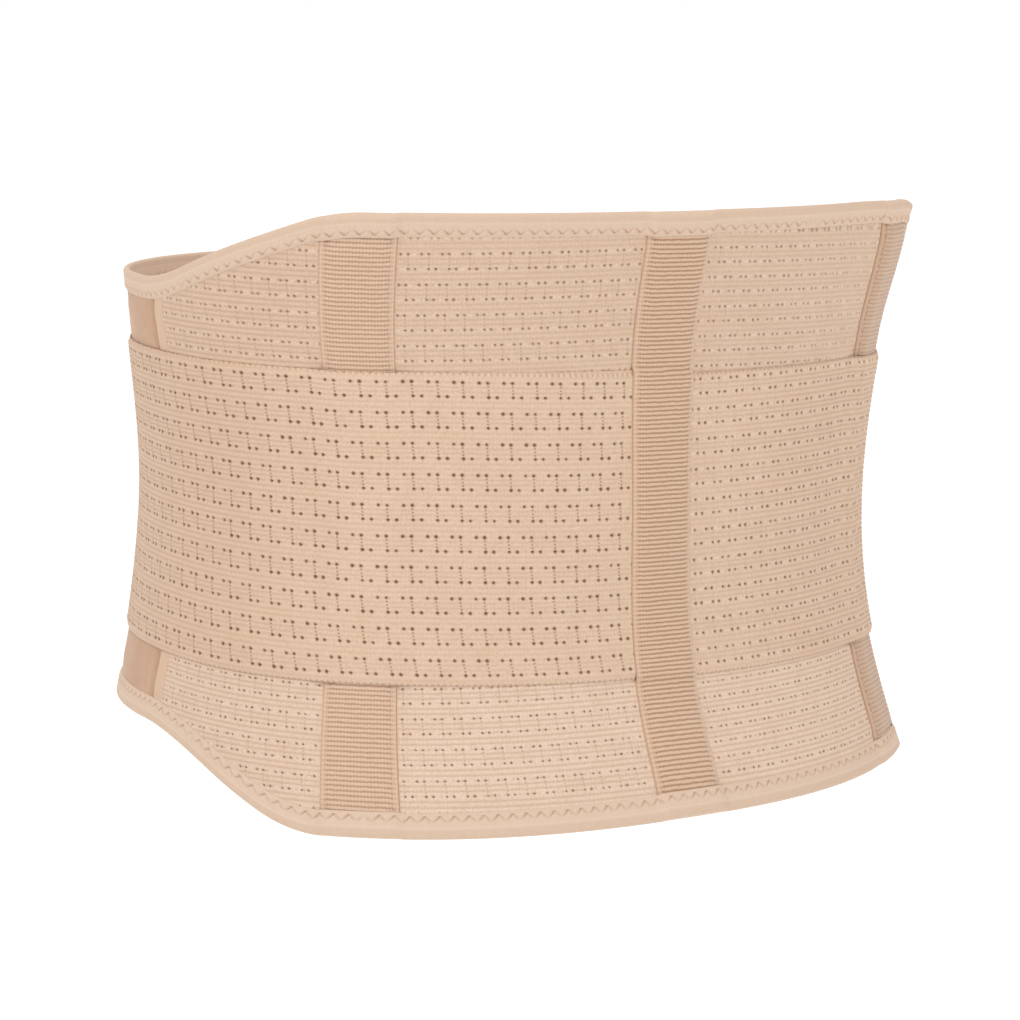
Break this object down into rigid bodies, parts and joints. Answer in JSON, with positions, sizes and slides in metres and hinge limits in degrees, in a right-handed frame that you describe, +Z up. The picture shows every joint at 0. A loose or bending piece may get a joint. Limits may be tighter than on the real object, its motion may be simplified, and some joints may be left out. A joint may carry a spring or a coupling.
{
  "type": "prolapse support belt",
  "caption": "Wide elastic support belt for the lower back and abdomen, with taped edges, ribbed stay casings and tension bands, closed as worn.",
  "frame": {"origin": "middle of the waist hollow, level with the narrowest girth, where the belt is worn", "axes": "+Z up, +Y towards the wearer's back, +X towards the wearer's left"},
  "size_m": [0.3404, 0.2853, 0.2432],
  "materials": {
    "knit_elastic": "perforated rib-knit elastic, beige",
    "velour": "short-napped velour laminate, beige",
    "edge_tape": "folded elastic tape with zigzag stitching",
    "ribbed_tape": "ribbed woven tape with stitched edges",
    "band_elastic": "stretched perforated rib-knit elastic, beige",
    "hook_tab": "velour-faced hook tab"
  },
  "bodies": {
    "root": {"back_panel": "knit_elastic", "front_panel_left": "velour", "front_panel_right": "velour", "top_binding": "edge_tape", "bottom_binding": "edge_tape", "stay_casing_centre": "ribbed_tape", "stay_casing_left": "ribbed_tape", "stay_casing_right": "ribbed_tape", "tension_band_left": "band_elastic", "tension_band_right": "band_elastic", "closure_tab_left": "hook_tab", "closure_tab_right": "hook_tab"}
  },
  "joints": []
}
